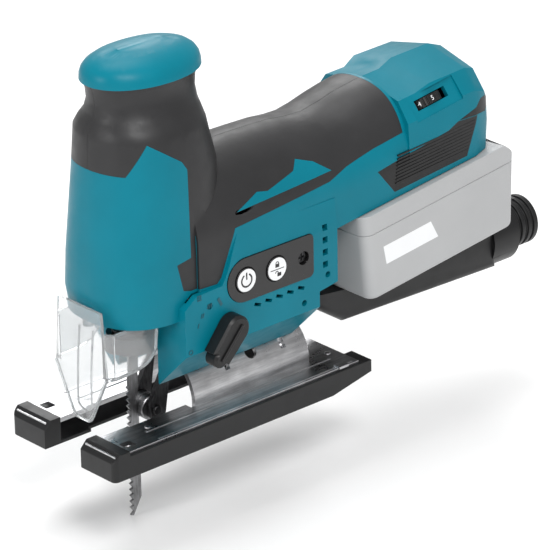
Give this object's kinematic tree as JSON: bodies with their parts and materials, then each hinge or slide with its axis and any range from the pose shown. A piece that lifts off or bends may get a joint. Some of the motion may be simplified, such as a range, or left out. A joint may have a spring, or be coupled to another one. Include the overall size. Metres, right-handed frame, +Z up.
{
  "type": "cordless jigsaw",
  "caption": "Cordless barrel-grip jigsaw with tilting steel base, orbital lever, clear chip guard, dust duct and slide-on battery.",
  "frame": {"origin": "the point where the blade's middle plane and the rod's axis meet the plane of the sole", "axes": "+Z up along the rod's axis, -X the cutting direction, -Y the side with the control panel"},
  "size_m": [0.3069, 0.0825, 0.2411],
  "materials": {
    "teal_shell": "fine moulded texture",
    "black_grip": "soft moulded grip",
    "black_plastic": "fine moulded texture",
    "panel_plastic": "semi gloss",
    "grey_case": "fine moulded texture",
    "zinc_steel": "zinc plated, stamped",
    "dark_steel": "hardened, ground",
    "blade_steel": "ground",
    "cast_alloy": "die cast",
    "bronze": "sintered",
    "copper": "lacquered wire",
    "clear_cover": "clear polycarbonate",
    "board": "printed board",
    "cell_wrap": "shrink wrap",
    "felt": "felt"
  },
  "bodies": {
    "housing": {"housing_near": "teal_shell", "housing_far": "teal_shell", "grip_near": "black_grip", "grip_far": "black_grip", "tail_inset_near": "black_plastic", "tail_inset_far": "black_plastic", "tail_band_near": "black_plastic", "tail_band_far": "black_plastic", "dust_duct": "black_plastic", "dust_nozzle": "black_plastic", "terminal_block": "black_plastic", "battery_rails": "black_plastic", "dial_axle": "black_plastic", "seal_holder": "black_plastic", "control_panel": "panel_plastic", "base_clamp": "zinc_steel", "housing_screws": "zinc_steel", "panel_screw": "zinc_steel", "motor_stator": "dark_steel", "front_bearing": "dark_steel", "rear_bearing": "dark_steel", "gear_axle": "dark_steel", "arm_pin": "dark_steel", "base_bolt": "dark_steel", "gear_case": "cast_alloy", "rod_bushes": "bronze", "motor_windings": "copper", "lamp_lens": "clear_cover", "control_board": "board", "circuit_board": "board", "power_switch": "board", "lock_switch": "board", "felt_seal": "felt"},
    "lever": {"orbital_lever": "black_plastic"},
    "dial": {"speed_dial": "black_plastic"},
    "power": {"power_button": "panel_plastic"},
    "lock": {"lock_button": "panel_plastic"},
    "rotor": {"motor_rotor": "dark_steel", "rotor_shaft": "dark_steel", "cooling_fan": "black_plastic"},
    "gear": {"drive_gear": "dark_steel", "balance_plate": "dark_steel"},
    "slider": {"slider_rod": "dark_steel", "blade_clamp": "dark_steel", "blade": "blade_steel"},
    "collar": {"clamp_collar": "dark_steel"},
    "arm": {"orbital_arm": "dark_steel", "roller_pin": "dark_steel"},
    "roller": {"guide_roller": "blade_steel"},
    "base": {"base_plate": "zinc_steel", "shoe_near": "black_plastic", "shoe_far": "black_plastic"},
    "guard": {"chip_guard": "clear_cover", "guard_wires": "zinc_steel"},
    "battery": {"battery_upper": "grey_case", "battery_lower": "grey_case", "battery_cells": "cell_wrap"},
    "pack_release": {"battery_button": "grey_case"}
  },
  "joints": [
    {"name": "base_tilt", "type": "hinge", "parent": "housing", "child": "base", "pos_m": [0.062, 0, 0.014], "axis": [1, 0, 0], "range_deg": [-45, 45]},
    {"name": "lever_turn", "type": "hinge", "parent": "housing", "child": "lever", "pos_m": [0.031, -0.04, 0.0575], "axis": [0, 1, 0], "range_deg": [0, 60]},
    {"name": "dial_turn", "type": "hinge", "parent": "housing", "child": "dial", "pos_m": [0.17192, -0.02203, 0.12835], "axis": [-0.117, 0.5415, 0.8325], "range_deg": [-240, 60]},
    {"name": "power_press", "type": "slide", "parent": "housing", "child": "power", "axis": [0, 1, 0], "range_m": [0, 0.001], "stiffness_N_per_m": 600, "springref_m": -0.0005},
    {"name": "lock_press", "type": "slide", "parent": "housing", "child": "lock", "axis": [0, 1, 0], "range_m": [0, 0.001], "stiffness_N_per_m": 600, "springref_m": -0.0005},
    {"name": "rotor_spin", "type": "hinge", "parent": "housing", "child": "rotor", "pos_m": [0.06, 0, 0.102], "axis": [1, 0, 0], "continuous": true},
    {"name": "gear_spin", "type": "hinge", "parent": "housing", "child": "gear", "pos_m": [0.018, 0, 0.1301], "axis": [1, 0, 0], "continuous": true},
    {"name": "rod_slide", "type": "slide", "parent": "housing", "child": "slider", "axis": [0, 0, 1], "range_m": [-0.0115, 0.0115]},
    {"name": "collar_twist", "type": "hinge", "parent": "slider", "child": "collar", "pos_m": [0, 0, 0.049], "axis": [0, 0, 1], "range_deg": [0, 40], "stiffness_Nm_per_rad": 0.05, "springref_deg": -17.19},
    {"name": "arm_swing", "type": "hinge", "parent": "housing", "child": "arm", "pos_m": [0.022, 0, 0.052], "axis": [0, 1, 0], "range_deg": [-3, 0]},
    {"name": "roller_spin", "type": "hinge", "parent": "arm", "child": "roller", "pos_m": [0.0088, 0, 0.011], "axis": [0, 1, 0], "continuous": true},
    {"name": "guard_pull", "type": "slide", "parent": "housing", "child": "guard", "axis": [-1, 0, 0], "range_m": [0, 0.03]},
    {"name": "battery_slide", "type": "slide", "parent": "housing", "child": "battery", "axis": [0.9925, 0, 0.1219], "range_m": [0, 0.075]},
    {"name": "pack_press", "type": "slide", "parent": "battery", "child": "pack_release", "axis": [0.1219, 0, -0.9925], "range_m": [0, 0.0015], "stiffness_N_per_m": 500, "springref_m": -0.001}
  ],
  "couplings": [
    {"joint": "gear_spin", "follows": "rotor_spin", "ratio": -0.25}
  ]
}
